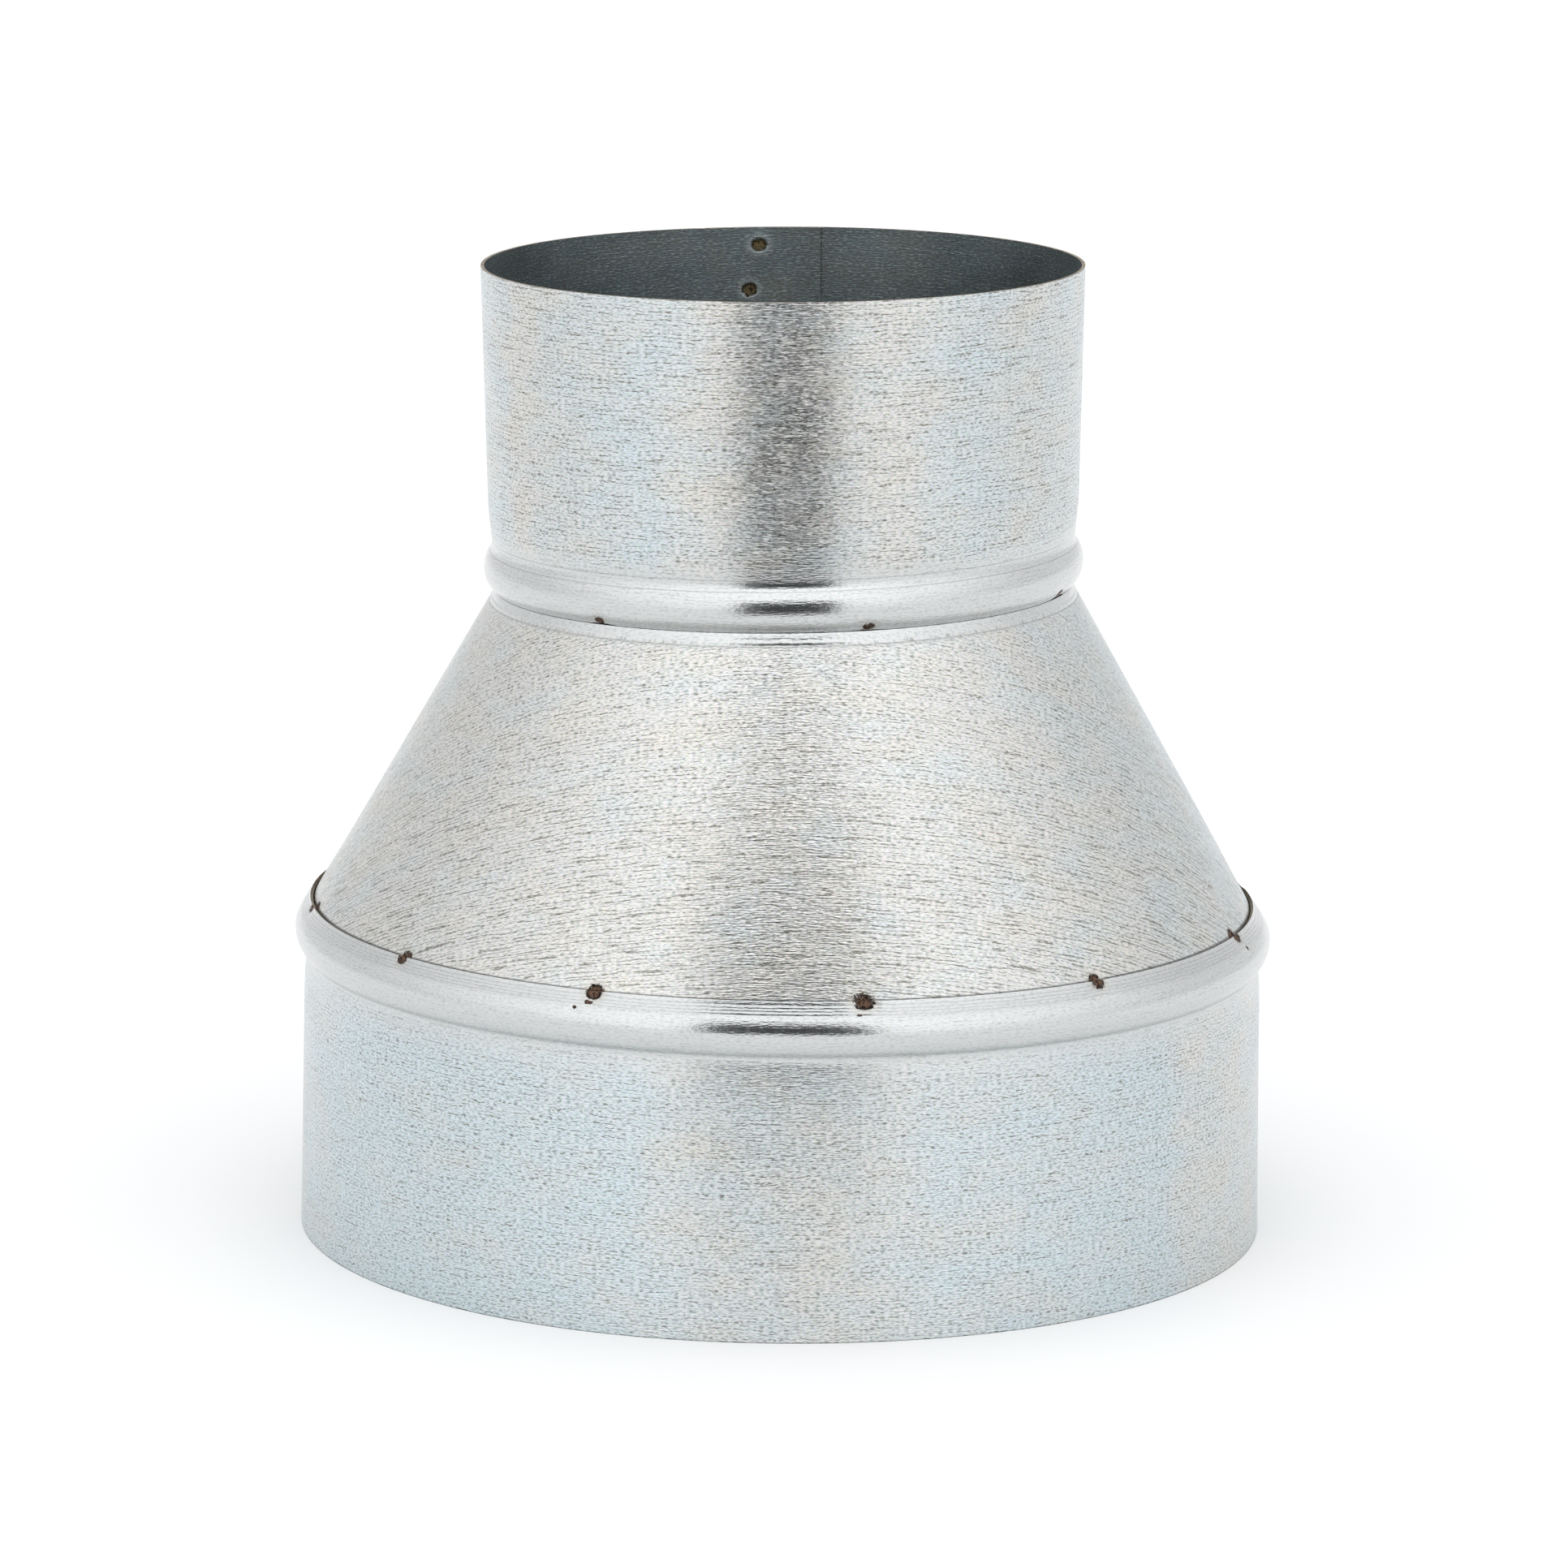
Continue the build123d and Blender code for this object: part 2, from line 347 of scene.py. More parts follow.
def roll_sheet(name, section, lap_from, lap_to, inner_end):
    """A rolled sheet as an open surface. Its ends lap between two heights, and the inner one stops at an
    azimuth in degrees. Returns the piece and the azimuth where the outer end stops."""
    widest = max(r for r, z in section)
    lap, step = degrees(lap_width / widest), degrees(step_width / widest)
    outer_end = inner_end + lap
    lapped = [point for point in section if lap_from <= point[1] <= lap_to]
    below, above = section[:section.index(lapped[0]) + 1], section[section.index(lapped[-1]):]

    bpy.ops.object.select_all(action="DESELECT")
    bpy.ops.mesh.primitive_plane_add(size=sheet * MM)
    piece = bpy.context.object
    piece.name = name
    bpy.ops.object.mode_set(mode="EDIT")
    bpy.ops.mesh.delete(type="VERT")
    draw_line(standing(section, outer_end))
    bpy.ops.mesh.spin(steps=columns, angle=radians(360 - step), center=(0, 0, 0), axis=(0, 0, 1))
    tucked = standing(lapped, outer_end, sheet + lap_clear)
    draw_line(tucked)
    bpy.ops.mesh.spin(steps=round(columns * lap / 360), angle=radians(lap), center=(0, 0, 0), axis=(0, 0, 1))
    bridge_lines(piece, standing(lapped, outer_end + step), tucked)
    for unlapped in (below, above):
        if len(unlapped) > 1:
            bridge_lines(piece, standing(unlapped, outer_end + step), standing(unlapped, outer_end))
    bpy.ops.mesh.select_all(action="SELECT")
    bpy.ops.mesh.normals_make_consistent(inside=False)
    bpy.ops.object.mode_set(mode="OBJECT")
    print(name, len(piece.data.polygons), "faces, inner end", inner_end, "outer end", round(outer_end, 1))
    return piece, outer_end


print("columns of", round(360 / columns, 2), "degrees")

# %% Roll the three sheets
large_lap, cone_lap, small_lap = (0, 47), (62, 124), (120, top)    # lapped heights, clear of the joints
large_seam, cone_seam, small_seam = 64.0, 112.0, 82.5              # azimuths of the inner ends
large_sheet, large_end = roll_sheet("large_collar_sheet", large_section, *large_lap, large_seam)
cone_sheet, cone_end = roll_sheet("cone_sheet", cone_section, *cone_lap, cone_seam)
small_sheet, small_end = roll_sheet("small_collar_sheet", small_section, *small_lap, small_seam)

# %% [markdown]
# ## Spot welds
# A spot welder squeezes two sheets between copper electrodes and melts a small nugget between them. Each
# weld leaves a shallow dent and a burnt brown mark. It could be a disc of its own, but a weld adds nothing
# to the sheet, so here it is pressed and burnt into it. The ones in sight stand where the photograph shows
# them, and those behind carry on at the same spacing. A weld is an angle from the front, a height and two
# half sizes.

# %% Where the welds are
front = 270                                # azimuth that faces the camera
lip_seen = (-80.5, -50.5, -22.0, 9.5, 39.7, 71.0)
lip_hidden = (99.5, 129.5, 159.5, -170.5, -140.5, -110.5)
bead_seen = (-37.4, 16.4, 68.9)
bead_hidden = (118.7, 170.1, -138.4, -88.4)
lip_weld_z, bead_weld_z = 68.7, 136.55
seam_count, seam_pitch, seam_first = 5, 9.6, 3.7    # down a collar's lap, from its rim
seam_aside, seam_zigzag = 10.8, 2.0        # degrees from the outer end, and to and fro
large_seam_aside = 7.0
lip_sizes = ((1.7, 1.3), (1.5, 1.45), (1.75, 1.6), (2.1, 1.6), (1.5, 1.45), (1.7, 1.5))
bead_size, seam_size = (1.15, 0.95), (1.75, 1.45)
# Spatter: the weld that it flew from, how far away in degrees and in height, and its half sizes
lip_spatter = ((2, -0.4, -1.75, 0.95, 0.45), (2, -2.0, -2.9, 0.4, 0.35), (3, -0.7, -2.2, 0.5, 0.3),
               (5, 1.3, -2.6, 0.5, 0.5))
bead_spatter = (2, 2.4, -0.9, 0.4, 0.35)

lip_welds = [(angle, lip_weld_z, *lip_sizes[n % len(lip_sizes)])
             for n, angle in enumerate(lip_seen + lip_hidden)]
lip_welds += [(lip_seen[n] + aside, lip_weld_z + rise, *half) for n, aside, rise, *half in lip_spatter]
bead_welds = [(angle, bead_weld_z, *bead_size) for angle in bead_seen + bead_hidden]
bead_welds += [(bead_seen[n] + aside, bead_weld_z + rise, *half) for n, aside, rise, *half in [bead_spatter]]
seam_welds = [(small_end - front - seam_aside + seam_zigzag * (n % 2), top - seam_first - seam_pitch * n,
               *seam_size) for n in range(seam_count)]
large_seam_welds = [(large_end - front - large_seam_aside, seam_first + seam_pitch * n, *seam_size)
                    for n in range(seam_count)]
print(len(lip_seen + lip_hidden), "on the lip,", len(bead_seen + bead_hidden), "on the small bead,",
      len(seam_welds), "down the lap of each collar")


# %% Measure along a sheet
def section_length(section, z):
    """Length along a section in mm up to the heights z."""
    points = np.array(section)
    length = np.append(0, np.hypot(*np.diff(points, axis=0).T).cumsum())
    order = np.argsort(points[:, 1])
    return np.interp(z, points[order, 1], length[order])


def from_weld(section, welds, angle, radius, length):
    """How far points of a sheet lie from their nearest weld, across and along the section in mm, and the
    weld's half sizes."""
    centres = np.array([(a, section_length(section, z), w, h) for a, z, w, h in welds])
    across = (angle[..., None] - centres[:, 0] + 180) % 360 - 180
    across = np.radians(across) * radius[..., None]
    along = length[..., None] - centres[:, 1]
    nearest = np.argmin(np.hypot(across / centres[:, 2], along / centres[:, 3]), axis=-1)[..., None]
    return (np.take_along_axis(across, nearest, -1)[..., 0], np.take_along_axis(along, nearest, -1)[..., 0],
            centres[nearest[..., 0], 2], centres[nearest[..., 0], 3])


print("large collar", round(section_length(large_section, lip[1]), 1), "mm along its section")

# %% [markdown]
# ## As the object really stands
# No hand-made fitting is perfect. The two beads tilt a little against each other, the walls are not quite
# round, the axis leans, and the lip stands off the cone at the left. The welds press their dents. It comes
# to a millimetre or two at most, but a perfect turning would look like a drawing. A lattice could bend each
# sheet, but one formula for all three keeps them seated in each other.

# %% Dents, lip gap, tilts and waves
dent_depth, dent_reach = 0.2, 2.6
lip_gap_side = 0.05                        # how far the lip stands off the cone at the left
tilts = ((0, 0.0), (40, 0.15), (62, 0.3), (69, 0.2), (80, -0.3), (120, -0.8), (135, -1.1),
         (140.4, -1.45), (150, -1.25), (202.5, -0.6))     # height, and degrees down to the right
drift = ((0, 0.0), (64, 0.0), (74, -0.45), (135, -0.65), (202.5, -1.45))  # height, and mm to the right
wave_depth = 0.09
three_lobes, five_lobes = 0.6, 2.0         # phases in radians of two waves round the wall
lobe_twist = 60                            # mm of height in which the five lobes turn by a radian


def places_of(piece):
    """Vertices of a piece in mm, as rows."""
    flat = np.empty(3 * len(piece.data.vertices))
    piece.data.vertices.foreach_get("co", flat)
    return flat.reshape(-1, 3) / MM


def set_places(piece, place):
    """Puts the vertices of a piece at places in mm."""
    piece.data.vertices.foreach_set("co", (place * MM).ravel())
    piece.data.update()


def press_welds(piece, section, welds):
    """Presses a dent at each weld, along the surface's normal."""
    place = places_of(piece)
    normal = np.array([vertex.normal for vertex in piece.data.vertices])
    angle = np.degrees(np.arctan2(place[:, 1], place[:, 0])) - front
    across, along, _, _ = from_weld(section, welds, angle, np.hypot(place[:, 0], place[:, 1]),
                                    section_length(section, place[:, 2]))
    depth = dent_depth * np.exp(-(across ** 2 + along ** 2) / dent_reach ** 2)
    set_places(piece, place - normal * depth[:, None])


def settle(piece):
    """Tilts and waves that the whole fitting shares, so that the sheets still fit each other."""
    place = places_of(piece)
    angle = np.arctan2(place[:, 1], place[:, 0])
    inward = wave_depth * (2 + np.sin(3 * angle + three_lobes)
                           + np.sin(5 * angle + five_lobes + place[:, 2] / lobe_twist))
    place[:, :2] *= (1 - inward / np.hypot(place[:, 0], place[:, 1]))[:, None]
    place[:, 0] += np.interp(place[:, 2], *zip(*drift))
    tilt = np.interp(place[:, 2], *zip(*tilts))
    # The whole is lowered a little, so that the tilted top rim stays under the CAD box's top
    room = small_rim_r * tan(radians(abs(tilts[-1][1])))
    place[:, 2] -= place[:, 0] * np.tan(np.radians(tilt)) + room * place[:, 2] / top
    place[:, 2] = np.clip(place[:, 2], 0, top)
    set_places(piece, place)


def open_lip(piece):
    """Lets the lip of the large bead stand off the cone at the left."""
    place = places_of(piece)
    angle = np.arctan2(place[:, 1], place[:, 0])
    side = np.clip(-np.cos(angle), 0, 1) ** 4
    rise = np.clip((place[:, 2] - large_crown_z) / (lip_weld_z - large_crown_z), 0, 1) ** 2
    place[:, :2] *= (1 + lip_gap_side * side * rise / np.hypot(place[:, 0], place[:, 1]))[:, None]
    set_places(piece, place)


press_welds(large_sheet, large_section, lip_welds + large_seam_welds)
press_welds(cone_sheet, cone_section, lip_welds)
press_welds(small_sheet, small_section, bead_welds + seam_welds)
open_lip(large_sheet)
print("dents of", dent_depth, "mm, lip open by", lip_gap_side, "mm at the left")

# %% [markdown]
# ## Thickness
# The surfaces so far are the outer faces. Solidify gives them the thickness of the steel towards the
# inside. It also sorts the faces by material: the outer face, the inner face, and the sheared edges at the
# rims, the lip and the ends of the lap. It could stay live, but it is applied so that the inner faces get
# maps too.

# %% Thicken the sheets
outside, inside, edge = (
    bpy.data.materials.new(name) for name in ("zinc_coat", "zinc_coat_inside_painted_shade", "sheared_edge"))
for piece in (large_sheet, cone_sheet, small_sheet):
    bpy.ops.object.select_all(action="DESELECT")
    bpy.context.view_layer.objects.active = piece
    piece.select_set(True)
    for material in (outside, inside, edge):
        piece.data.materials.append(material)
    wall = piece.modifiers.new("wall", "SOLIDIFY")
    wall.thickness = sheet * MM
    wall.offset = -1
    wall.use_even_offset = True
    wall.use_quality_normals = True
    wall.material_offset, wall.material_offset_rim = 1, 2
    bpy.ops.object.modifier_apply(modifier=wall.name)
    corners = {len(face.vertices) for face in piece.data.polygons}
    print(piece.name, len(piece.data.polygons), "faces, corners each:", corners)

# %% [markdown]
# ## Coordinates for the finish
# The rolling mill left its streaks on the flat sheet, before it was cut and rolled. So the finish is
# painted on the flat pattern: a UV map in millimetres, where a collar unrolls to a rectangle and the cone
# to a fan. That is why the streaks run level round the collars but drop to both sides on the cone, which a
# pattern in object coordinates would not do. A second map measures from the nearest weld in nugget radii.
# Attributes say where the rolling lines are clear, where the rollers burnished the zinc or scored it, where
# it is blue, and how far a joint is.

# %% Flat pattern, weld map and attributes
def map_sheet(piece, section, outer_end, welds, fan, lined, joint_z, scored, burnished, cool):
    """Writes the maps and attributes of a sheet. fan is the cone's half angle in radians, or 0 for a collar.
    joint_z is the height where another sheet meets it, and scored those of tool lines. lined, burnished and
    cool say how clear the rolling lines are, where the zinc is burnished and where it is blue: the first two
    by height, the last by angle from the front."""
    mesh = piece.data
    place = places_of(piece)
    corner = np.array([face.vertices for face in mesh.polygons])
    azimuth = np.degrees(np.arctan2(place[:, 1], place[:, 0]))
    turned = ((azimuth - outer_end) % 360)[corner]
    split = turned.max(axis=1) - turned.min(axis=1) > 180
    turned[split] += 360 * (turned[split] < 180)
    angle = turned - (front - outer_end) % 360
    radius = np.hypot(place[:, 0], place[:, 1])[corner]
    length = section_length(section, place[:, 2])[corner]
    if fan:
        spread, slant = np.radians(angle) * sin(fan), radius / sin(fan)
        across, along = slant * np.sin(spread), -slant * np.cos(spread)
    else:
        across, along = np.radians(angle) * radius.mean(), length
    flat = mesh.uv_layers.new(name="flat_pattern")
    flat.data.foreach_set("uv", np.dstack((across, along)).ravel())

    middle = angle.mean(axis=1), radius.mean(axis=1), length.mean(axis=1)
    off_across, off_along, half_width, half_height = from_weld(section, welds, *middle)
    mark_across = off_across[:, None] + np.radians(angle - middle[0][:, None]) * radius
    mark_along = off_along[:, None] + length - middle[2][:, None]
    marks = mesh.uv_layers.new(name="welds")
    marks.data.foreach_set("uv", np.dstack((mark_across / half_width[:, None],
                                            mark_along / half_height[:, None])).ravel())
    seen = (azimuth - front + 180) % 360 - 180
    joint = np.abs(section_length(section, place[:, 2]) - section_length(section, joint_z))
    off_score = np.min([np.abs(place[:, 2] - z) for z in scored], axis=0)
    for name, amount in (("scored", np.clip(1 - off_score / mark_half, 0, 1)),
                         ("burnish", np.interp(place[:, 2], *zip(*burnished))),
                         ("cool", np.interp(seen, *zip(*cool))),
                         ("from_joint", np.where(place[:, 2] < joint_z, -joint, joint)),
                         ("lined", np.interp(place[:, 2], *zip(*lined)))):
        mesh.attributes.new(name, "FLOAT", "POINT").data.foreach_set("value", amount)
    print(piece.name, "pattern", round(np.ptp(across)), "by", round(np.ptp(along)), "mm")


mark_heights = [lip[1] - mark * cos(radians(flank_lean)) for mark in tool_marks]
cone_half_angle = atan2(cone_foot[0] - cone_bend[0], cone_bend[1] - cone_foot[1])
no_joint = -5                              # a height that no sheet reaches
under_lip = 0.1                            # how far below the lip's edge the joint lies
map_sheet(
    large_sheet, large_section, large_end, lip_welds + large_seam_welds, fan=0, joint_z=no_joint,
    scored=mark_heights, lined=((0, 0.3), (50, 0.4)), burnished=((50, 0), (56, 0.6), (58, 1), (69, 1)),
    cool=((-180, 0.3), (-90, 0.45), (-60, 0.8), (-18, 0.7), (-10, 0.4), (10, 0.35), (16, 0.5), (50, 0.8),
          (56, 0.3), (70, 0.35), (90, 0.6), (180, 0.3)))
map_sheet(
    cone_sheet, cone_section, cone_end, lip_welds, fan=cone_half_angle, joint_z=lip[1] - under_lip,
    scored=(cone_bend[1],), lined=((69, 0.9), (100, 0.75), (132, 0.4)),
    burnished=((68, 0.3), (70, 0), (132, 0), (134, 1)),
    cool=((-180, 0.3), (-90, 0.3), (-60, 0.1), (0, 0.1), (40, 0.15), (70, 0.4), (90, 0.5), (180, 0.3)))
map_sheet(
    small_sheet, small_section, small_end, bead_welds + seam_welds, fan=0, joint_z=cone_top[1],
    scored=small_scores, lined=((140, 0.55), (200, 0.65)), burnished=((134, 1), (146, 1), (150, 0)),
    cool=((-180, 0.3), (-90, 0.5), (-66, 0.45), (-60, 0.0), (-52, 0.35), (-25, 0.6), (-12, 0.1), (10, 0.3),
          (22, 0.1), (40, 0.6), (50, 0.3), (90, 0.6), (180, 0.3)))

# The maps are measured on true round sheets, so these are tilted and waved only now
for piece in (large_sheet, cone_sheet, small_sheet):
    settle(piece)

# %% [markdown]
# ## Zinc
# Hot-dip zinc that has gone through finishing rolls is a satin metal. Shallow level ripples blur its
# reflections mostly up and down, thin dark lines and a fine grain run along the rolling, and a film of
# oxide tints it pale blue or straw. A picture of zinc could be wrapped round, but it would hold reflections
# of its own. So all of this is noise on the flat pattern, stretched along the rolling and sized in
# millimetres.

# %% Noise on the flat pattern
ripple_length, ripple_width = 2.2, 0.3     # mm of one step of the noise along and across the rolling
row_spacing = 0.85                         # mm between two rolling lines
sway_length, sway_width, sway = 10.0, 1.1, 1.9    # mm along and across, and spacings that a line wanders by
dash_length = 9.0                          # mm that a line stays clear
grain_length, grain_width = 1.0, 0.3       # really half as large, drawn coarser so that it shows
cloud_length, cloud_height = 14.0, 9.0     # patches of oxide
crumb_size = 0.8                           # of the ragged edge of a weld mark


def sheet_fields(tree):
    """Adds all that the zinc reads from a sheet, and gives it by name: the flat pattern, five noises, the
    distance from the nearest rolling line in spacings, and the attributes."""
    pattern = add_node(tree, "ShaderNodeUVMap", uv_map="flat_pattern")
    field = {"pattern": pattern}
    for name, along, across, detail in (
            ("ripple", ripple_length, ripple_width, 1.0), ("wander", sway_length, sway_width, 2.0),
            ("dashes", dash_length, row_spacing, 1.0), ("grain", grain_length, grain_width, 1.0),
            ("cloud", cloud_length, cloud_height, 3.0)):
        stretched = add_node(tree, "ShaderNodeVectorMath", {0: pattern, 1: (1 / along, 1 / across, 0)},
                             operation="MULTIPLY")
        field[name] = add_node(
            tree, "ShaderNodeTexNoise", {"Vector": stretched, "Scale": 1.0, "Detail": detail},
            noise_dimensions="2D")
    row = add_node(tree, "ShaderNodeSeparateXYZ", {0: pattern}, "Y")
    row = add_node(tree, "ShaderNodeMath", {0: row, 1: 1 / row_spacing}, operation="MULTIPLY")
    row = add_node(tree, "ShaderNodeMath", {0: field["wander"], 1: sway, 2: row}, operation="MULTIPLY_ADD")
    field["from_row"] = add_node(tree, "ShaderNodeMath", {0: row, 1: 0.5}, operation="PINGPONG")
    patches = add_node(tree, "ShaderNodeSeparateColor", {0: field["cloud"].node.outputs["Color"]})
    field["patches"] = patches.node.outputs
    for name in ("cool", "burnish", "lined", "from_joint", "scored"):
        field[name] = add_node(tree, "ShaderNodeAttribute", out="Fac", attribute_name=name)
    return field


print("rolling lines", row_spacing, "mm apart, grain", grain_length, "by", grain_width, "mm")

# %% [markdown]
# ## Colour of the coat
# The oxide lies in patches. On it come the grain's own specks of colour, and the rolling lines, which are
# whole where the sheet is lined and broken into specks elsewhere. Painted shade darkens the sheet beside
# each joint, where one sheet meets another, and the lines of the closing rollers are darkened too.

# %% Oxide, grain, lines, and painted shade at the joints
blue_from, blue_to = 0.6, 1.3              # patch and attribute together, where blue begins and is full
straw_from, straw_to = 0.45, 0.75
grain_tint, grain_tint_burnished = 0.28, 0.1
speck_from, speck_to = 0.52, 0.4           # grain, from no speck to a full one
thread_from, thread_to = 0.16, 0.05        # spacings from a row's middle, from no line to a full one
clear_from, clear_to = 0.3, 0.54           # dashes, from a gap to a clear line
line_faint, line_strong = 0.1, 0.9
dot_reach, dot_core, dot_far, dot_near = 0.45, 0.1, 0.3, 0.6    # specks are darker near a row
kept_burnished = 0.35                      # share of lines and specks left where burnished
joint_reach, joint_shade_share, tool_line_darkening = 0.28, 0.75, 0.4         # mm from a joint, shares of painted shade there and of darkening in a tool line
# Dark tone of the painted shade beside the joints and of the darkened tool lines
shade_and_line_tone = "#2b2a28"


def coat_colour(tree, field, tints, line_tone, whole):
    """Colour of the coat: its neutral, blue, straw and burnished tints, and the tone of its lines. whole says
    how far the lines stay unbroken where the sheet is lined."""
    grain, lined, burnish = field["grain"], field["lined"], field["burnish"]
    bluer = add_node(tree, "ShaderNodeMath", {0: field["patches"]["Red"], 1: field["cool"]}, operation="ADD")
    bluer = add_node(tree, "ShaderNodeMapRange", {0: bluer, 1: blue_from, 2: blue_to})
    warmer = add_node(tree, "ShaderNodeMapRange", {0: field["patches"]["Green"], 1: straw_from, 2: straw_to})
    tint = add_node(tree, "ShaderNodeMix", {0: warmer, 6: tints[0], 7: tints[2]}, out=2, data_type="RGBA")
    tint = add_node(tree, "ShaderNodeMix", {0: bluer, 6: tint, 7: tints[1]}, out=2, data_type="RGBA")
    tint = add_node(tree, "ShaderNodeMix", {0: burnish, 6: tint, 7: tints[3]}, out=2, data_type="RGBA")
    grainy = add_node(tree, "ShaderNodeMapRange", {0: burnish, 3: grain_tint, 4: grain_tint_burnished})
    tint = add_node(tree, "ShaderNodeMix", {0: grainy, 6: tint, 7: grain.node.outputs["Color"]}, out=2,
                    data_type="RGBA", blend_type="OVERLAY")

    speck = add_node(tree, "ShaderNodeMapRange", {0: grain, 1: speck_from, 2: speck_to})
    thread = add_node(tree, "ShaderNodeMapRange", {0: field["from_row"], 1: thread_from, 2: thread_to})
    clear = add_node(tree, "ShaderNodeMapRange", {0: field["dashes"], 1: clear_from, 2: clear_to})
    unbroken = add_node(tree, "ShaderNodeMapRange", {0: lined, 3: 0.0, 4: whole})
    broken = add_node(tree, "ShaderNodeMix", {0: unbroken, 2: speck, 3: 1.0})
    strength = add_node(tree, "ShaderNodeMapRange", {0: lined, 3: line_faint, 4: line_strong})
    drawn = thread
    for share in (clear, broken, strength):
        drawn = add_node(tree, "ShaderNodeMath", {0: drawn, 1: share}, operation="MULTIPLY")
    dotted = add_node(tree, "ShaderNodeMapRange",
                      {0: field["from_row"], 1: dot_reach, 2: dot_core, 3: dot_far, 4: dot_near})
    shade = add_node(tree, "ShaderNodeMath", {0: speck, 1: dotted, 2: drawn}, operation="MULTIPLY_ADD",
                     use_clamp=True)
    kept = add_node(tree, "ShaderNodeMapRange", {0: burnish, 3: 1.0, 4: kept_burnished})
    shade = add_node(tree, "ShaderNodeMath", {0: shade, 1: kept}, operation="MULTIPLY")
    tint = add_node(tree, "ShaderNodeMix", {0: shade, 6: tint, 7: line_tone}, out=2, data_type="RGBA")

    # Painted shade: the sheet is darkened close to a joint, where shade falls between two sheets; tool lines
    # darken too
    joint_shade = add_node(tree, "ShaderNodeMapRange",
                       {0: field["from_joint"], 1: 0.0, 2: joint_reach, 3: joint_shade_share, 4: 0.0})
    joint_shade_and_lines = add_node(tree, "ShaderNodeMath", {0: field["scored"], 1: tool_line_darkening, 2: joint_shade},
                     operation="MULTIPLY_ADD", use_clamp=True)
    return add_node(tree, "ShaderNodeMix", {0: joint_shade_and_lines, 6: tint, 7: linear(shade_and_line_tone)}, out=2,
                    data_type="RGBA")


print("rolling lines", round(2 * thread_from * row_spacing, 2), "mm wide at most")

# %% [markdown]
# ## Weld marks
# The heat burns the zinc off: what is left is a crusty brown nugget with a ragged, cracked dark rim, and a
# straw halo round it. A crumbly noise added to the distance from the weld makes the edge ragged.

# %% Nugget, rim and halo
crumble_reach = 1.8                        # nugget radii that the noise adds, about half of it on average
nugget_from, nugget_to = 1.82, 1.74        # distance with the noise, from zinc to nugget
rim_at, rim_half = 1.9, 0.1
crack_from, crack_to = 0.45, 0.52
crust_from, crust_to = 0.38, 0.55
scorch_from, scorch_to = 1.5, 1.8
halo_from, halo_to, halo_strength = 2.8, 1.8, 0.35


def weld_marks(tree, field, tint, burnt, halo_tone):
    """Burns the weld marks into a colour. burnt holds their dark and light brown. Gives the colour, how far a
    place is nugget, and its distance from the weld in nugget radii."""
    from_mark = add_node(tree, "ShaderNodeUVMap", uv_map="welds")
    crumble = add_node(tree, "ShaderNodeTexNoise", {
        "Vector": field["pattern"], "Scale": 1 / crumb_size, "Detail": 3.0, "Roughness": 0.65},
        noise_dimensions="2D")
    pressed = add_node(tree, "ShaderNodeVectorMath", {0: from_mark}, "Value", operation="LENGTH")
    reach = add_node(tree, "ShaderNodeMath", {0: crumble, 1: crumble_reach, 2: pressed},
                     operation="MULTIPLY_ADD")
    nugget = add_node(tree, "ShaderNodeMapRange", {0: reach, 1: nugget_from, 2: nugget_to})
    rim = add_node(tree, "ShaderNodeMath", {0: reach, 1: rim_at, 2: rim_half}, operation="COMPARE")
    cracked = add_node(tree, "ShaderNodeMapRange", {0: crumble, 1: crack_from, 2: crack_to})
    rim = add_node(tree, "ShaderNodeMath", {0: rim, 1: cracked}, operation="MULTIPLY")
    crust = add_node(tree, "ShaderNodeMapRange", {0: crumble, 1: crust_from, 2: crust_to})
    scorch = add_node(tree, "ShaderNodeMapRange", {0: reach, 1: scorch_from, 2: scorch_to})
    crust = add_node(tree, "ShaderNodeMath", {0: crust, 1: scorch}, operation="SUBTRACT", use_clamp=True)
    brown = add_node(tree, "ShaderNodeMix", {0: crust, 6: burnt[0], 7: burnt[1]}, out=2, data_type="RGBA")
    halo = add_node(tree, "ShaderNodeMapRange",
                    {0: reach, 1: halo_from, 2: halo_to, 3: 0.0, 4: halo_strength})
    for share, tone in ((halo, halo_tone), (nugget, brown), (rim, burnt[0])):
        tint = add_node(tree, "ShaderNodeMix", {0: share, 6: tint, 7: tone}, out=2, data_type="RGBA")
    return tint, nugget, pressed


print("halo out to about", round(halo_from - crumble_reach / 2, 1), "nugget radii")

# %% [markdown]
# ## The coat as a material
# A metal keeps the default IOR, and what the eye gets is its reflection: satin where it was rolled,
# smoother where the beading rollers burnished it, matt where it is burnt. The inside is drawn duller, and
# its colour is darker: painted shade for the dim inside of the duct, on the same zinc.

# %% Zinc outside and inside
ripple_height, grain_height = 0.12, 0.022  # mm
ripple_burnished = 0.25                    # share of the ripples left where burnished
inside_calm = 6                            # how many times lower the ripples are inside
satin_spread = 0.04                        # roughness, more or less, from patch to patch
patch_from, patch_to = 0.3, 0.7
satin_burnished, burnt_rough = 0.7, 0.7    # share of the roughness where burnished, and roughness where burnt
crater_from, crater_to, crater_depth = 0.5, 1.2, 0.12    # nugget radii, and mm


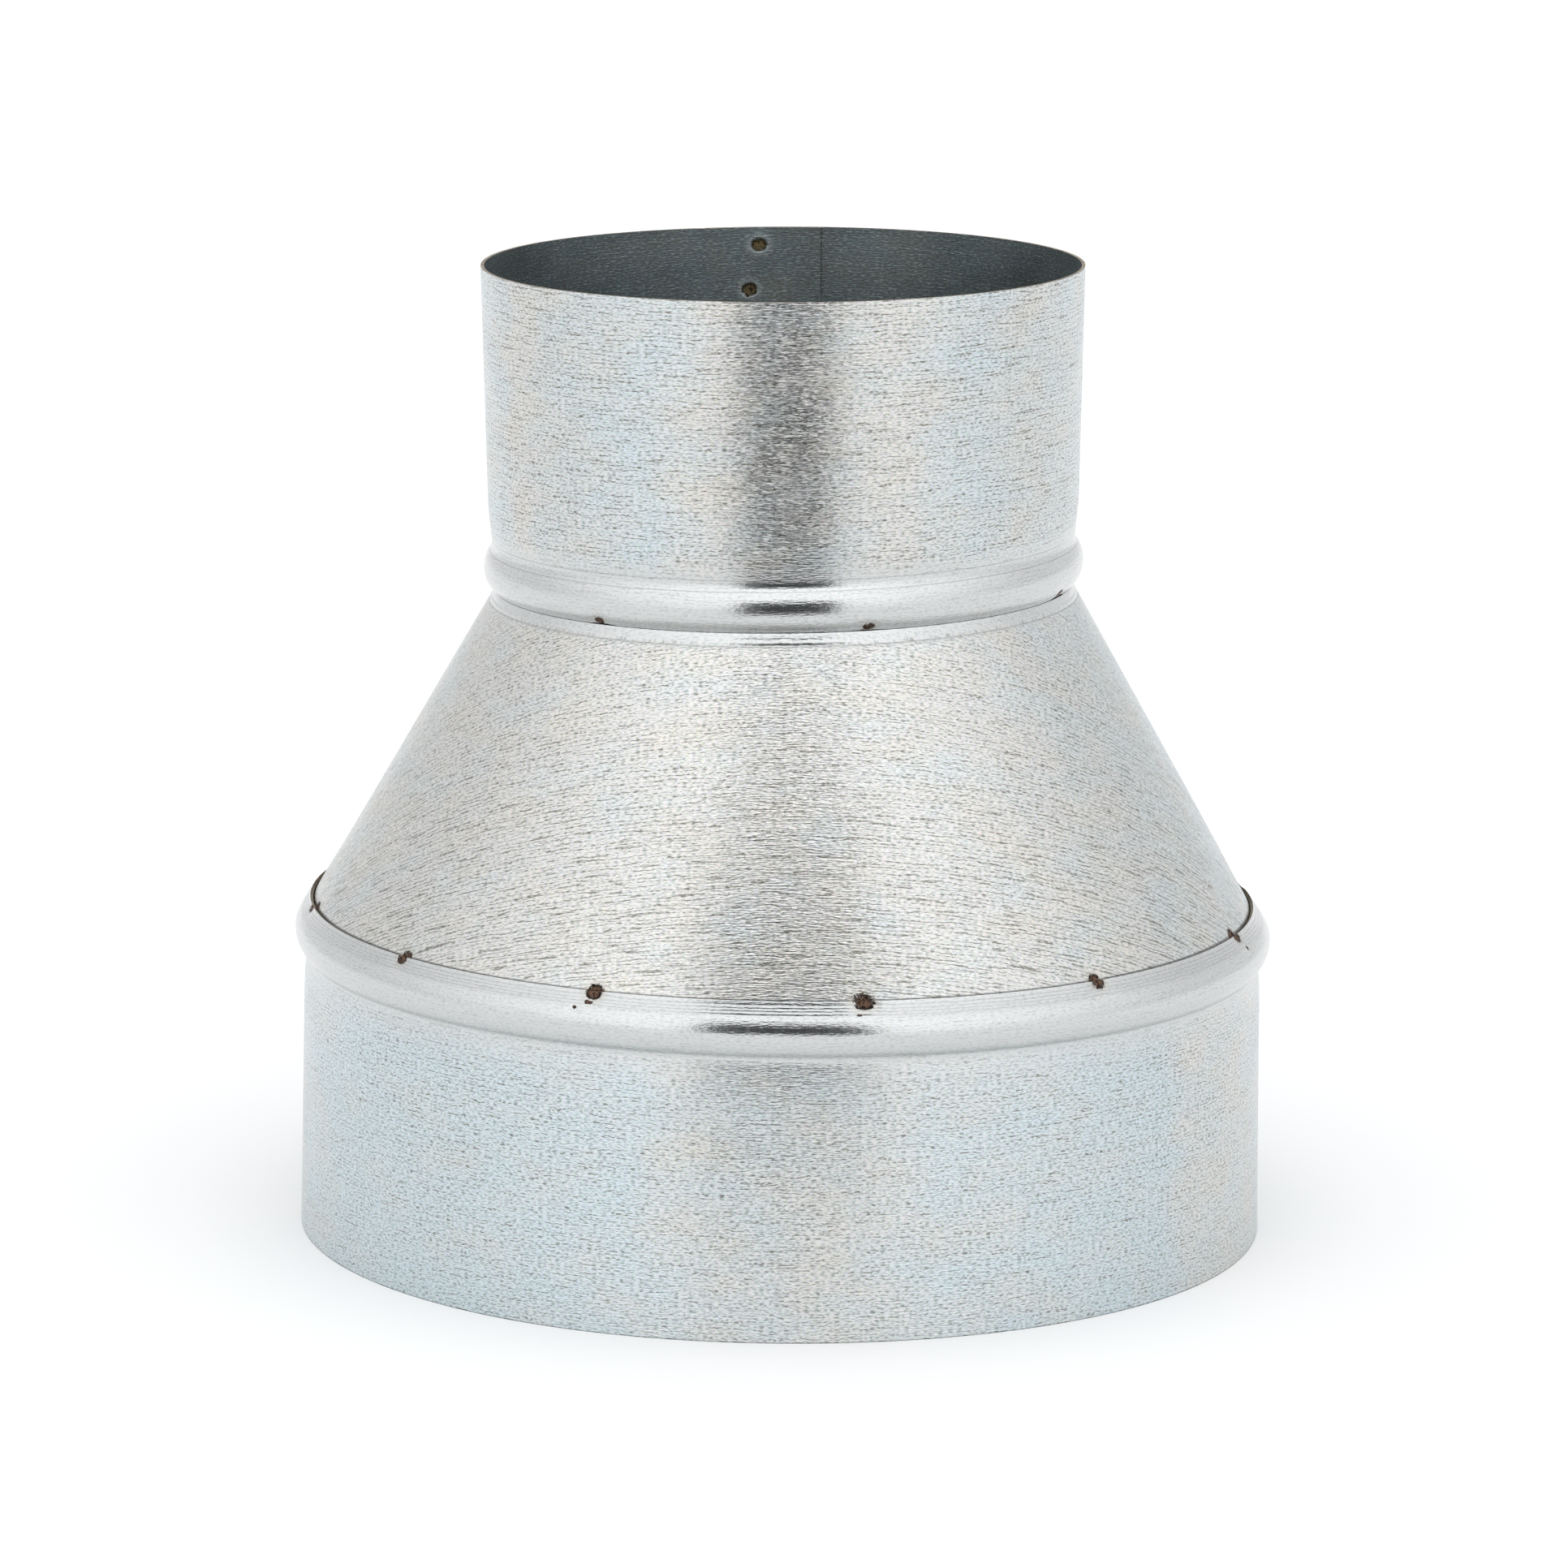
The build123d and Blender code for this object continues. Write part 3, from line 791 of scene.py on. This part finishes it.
def zinc(material, tints, line_tone, burnt, halo_tone, rough, ripples, whole):
    """Fills a material with rolled zinc of a given roughness, with ripples of a height in mm."""
    material.use_nodes = True
    tree = material.node_tree
    shader = tree.nodes["Principled BSDF"]
    shader.inputs["Metallic"].default_value = 1.0
    field = sheet_fields(tree)
    tint = coat_colour(tree, field, tints, line_tone, whole)
    tint, nugget, pressed = weld_marks(tree, field, tint, burnt, halo_tone)
    tree.links.new(tint, shader.inputs["Base Color"])

    satin = add_node(tree, "ShaderNodeMapRange", {
        0: field["patches"]["Blue"], 1: patch_from, 2: patch_to,
        3: rough - satin_spread, 4: rough + satin_spread})
    satin = add_node(tree, "ShaderNodeMix", {0: field["burnish"], 2: satin, 3: rough * satin_burnished})
    satin = add_node(tree, "ShaderNodeMix", {0: nugget, 2: satin, 3: burnt_rough})
    tree.links.new(satin, shader.inputs["Roughness"])

    height = add_node(tree, "ShaderNodeMapRange",
                      {0: field["burnish"], 3: ripples, 4: ripples * ripple_burnished})
    relief = add_node(tree, "ShaderNodeMath", {0: field["ripple"], 1: height}, operation="MULTIPLY")
    relief = add_node(tree, "ShaderNodeMath", {0: field["grain"], 1: grain_height, 2: relief},
                      operation="MULTIPLY_ADD")
    crater = add_node(tree, "ShaderNodeMapRange", {
        0: pressed, 1: crater_from, 2: crater_to, 3: -crater_depth, 4: 0.0})
    relief = add_node(tree, "ShaderNodeMath", {0: relief, 1: crater}, operation="ADD")
    normal = add_node(tree, "ShaderNodeBump", {"Height": relief, "Distance": MM})
    tree.links.new(normal, shader.inputs["Normal"])
    print(material.name, len(tree.nodes), "nodes")


zinc(outside, tints=[linear(tone) for tone in ("#d8d8d6", "#cddadf", "#dad8d2", "#d0d2d2")],
     line_tone=linear("#807f78"), burnt=(linear("#2d2521"), linear("#7a6152")), halo_tone=linear("#b5ab97"),
     rough=0.3, ripples=ripple_height, whole=1.0)
# The inside's darker tints are painted shade: the same zinc, darkened for the dim inside of the duct.
zinc(inside, tints=[linear(tone) for tone in ("#727b7d", "#6e7b80", "#797b75", "#727b7d")],
     line_tone=linear("#a0a9a9"), burnt=(linear("#3a3324"), linear("#7d6f52")), halo_tone=linear("#dfe6e6"),
     rough=0.42, ripples=ripple_height / inside_calm, whole=0.0)

# %% [markdown]
# ## Sheared edges
# Shears cut through the zinc and leave a slightly torn band of bare steel, which soon goes straw brown. The
# eye sees it as a thin warm line round the cool zinc. The tears could be cut into the mesh, but on an edge
# of less than a millimetre a mottled colour does as well.

# %% The sheared edge
tear_size = 2.5                            # mm
edge.use_nodes = True
edge_tree = edge.node_tree
bare = edge_tree.nodes["Principled BSDF"]
bare.inputs["Metallic"].default_value = 1.0
bare.inputs["Roughness"].default_value = 0.4
place = add_node(edge_tree, "ShaderNodeTexCoord", out="Object")
tear = add_node(edge_tree, "ShaderNodeTexNoise",
                {"Vector": place, "Scale": 1 / (tear_size * MM), "Detail": 3.0})
torn = add_node(edge_tree, "ShaderNodeMix", {0: tear, 6: linear("#463c31"), 7: linear("#b3a283")}, out=2,
                data_type="RGBA")
edge_tree.links.new(torn, bare.inputs["Base Color"])
print(edge.name, len(edge_tree.nodes), "nodes")

# %% [markdown]
# ## Hand over
# Each piece takes the place of its CAD node and rides on the root, because the reducer has no moving part.

# %% Smooth and replace
sharp_from = 40                            # degrees between faces, from which an edge stays sharp
for piece, node in ((large_sheet, "large_collar"), (cone_sheet, "cone"), (small_sheet, "small_collar")):
    bpy.ops.object.select_all(action="DESELECT")
    bpy.context.view_layer.objects.active = piece
    piece.select_set(True)
    bpy.ops.object.shade_smooth_by_angle(angle=radians(sharp_from))
    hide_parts(node)
    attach(piece, "root")
